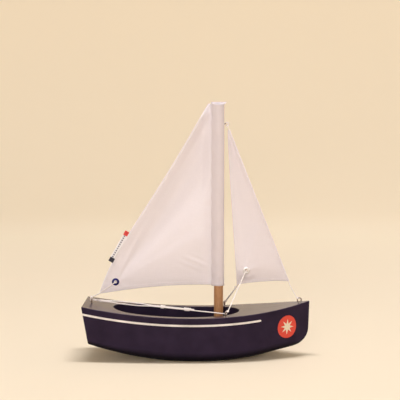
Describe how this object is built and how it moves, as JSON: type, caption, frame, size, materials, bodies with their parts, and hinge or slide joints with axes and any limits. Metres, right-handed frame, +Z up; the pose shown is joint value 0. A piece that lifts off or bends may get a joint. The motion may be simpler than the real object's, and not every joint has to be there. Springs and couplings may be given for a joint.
{
  "type": "toy sailboat",
  "caption": "Wooden toy sailing boat: solid navy hull with a routed cockpit, dowel mast, sleeved mainsail and jib that swing, and adjustable elastic sheets.",
  "frame": {"origin": "middle of the underside's bounding box, on the surface the hull stands on", "axes": "+X to the bow, +Y to port, +Z up along the mast"},
  "size_m": [0.2198, 0.0758, 0.2473],
  "materials": {
    "navy_paint": "satin navy paint on solid wood",
    "mast_wood": "oiled beech dowel",
    "stripe_paint": "silvery white paint in a shallow groove",
    "badge_red": "printed sticker",
    "badge_cream": "printed sticker",
    "eye_metal": "dull metal wire",
    "white_cord": "braided elastic cord",
    "sail_cotton": "plain-woven white cotton",
    "navy_enamel": "navy lacquered eyelet",
    "nickel": "nickel-plated eyelet",
    "ribbon_white": "woven ribbon",
    "ribbon_red": "woven ribbon",
    "ribbon_blue": "woven ribbon"
  },
  "bodies": {
    "hull": {"hull": "navy_paint", "mast": "mast_wood", "stripe_starboard": "stripe_paint", "stripe_port": "stripe_paint", "badge_starboard": "badge_red", "badge_port": "badge_red", "badge_star_starboard": "badge_cream", "badge_star_port": "badge_cream", "bow_eye": "eye_metal", "stern_eye": "eye_metal", "eye_starboard": "eye_metal", "eye_port": "eye_metal", "mast_eye": "eye_metal", "forestay": "white_cord", "forestay_head_knot": "white_cord", "forestay_bow_knot": "white_cord", "deck_sheet": "white_cord", "deck_sheet_return": "white_cord", "stern_knot": "white_cord", "sheet_knot_starboard": "white_cord", "sheet_knot_port": "white_cord"},
    "mainsail": {"mainsail_sleeve": "sail_cotton", "mainsail_panel": "sail_cotton", "mainsail_hem": "sail_cotton", "main_clew_eyelet": "navy_enamel", "main_clew_washer": "nickel", "tag_ribbon": "ribbon_white", "tag_red_end": "ribbon_red", "tag_blue_end": "ribbon_blue", "mainsheet": "white_cord", "mainsheet_clew_knot": "white_cord"},
    "jib": {"jib_luff_hem": "sail_cotton", "jib_panel": "sail_cotton", "jib_hem": "sail_cotton", "jib_clew_eyelet": "nickel", "jib_clew_washer": "nickel", "jib_clew_knot": "white_cord", "jib_sheet_starboard": "white_cord", "jib_sheet_port": "white_cord", "jib_sheet_knot": "white_cord"},
    "slip_knot_aft": {"sliding_knot_aft": "white_cord"},
    "slip_knot_fore": {"sliding_knot_fore": "white_cord"}
  },
  "joints": [
    {"name": "mainsail_swing", "type": "hinge", "parent": "hull", "child": "mainsail", "pos_m": [0.0211, 0, 0.07], "axis": [0, 0, 1], "range_deg": [-12, 12], "deforming": ["mainsheet"]},
    {"name": "jib_swing", "type": "hinge", "parent": "hull", "child": "jib", "pos_m": [0.0289, 0, 0.2267], "axis": [-0.3672, 0, 0.9302], "range_deg": [-20, 20], "deforming": ["jib_sheet_starboard", "jib_sheet_port", "jib_sheet_knot"]},
    {"name": "slip_aft", "type": "slide", "parent": "hull", "child": "slip_knot_aft", "axis": [0.9719, -0.2275, -0.0608], "range_m": [-0.008, 0.008]},
    {"name": "slip_fore", "type": "slide", "parent": "hull", "child": "slip_knot_fore", "axis": [0.9719, -0.2275, -0.0608], "range_m": [-0.006, 0.003]}
  ]
}
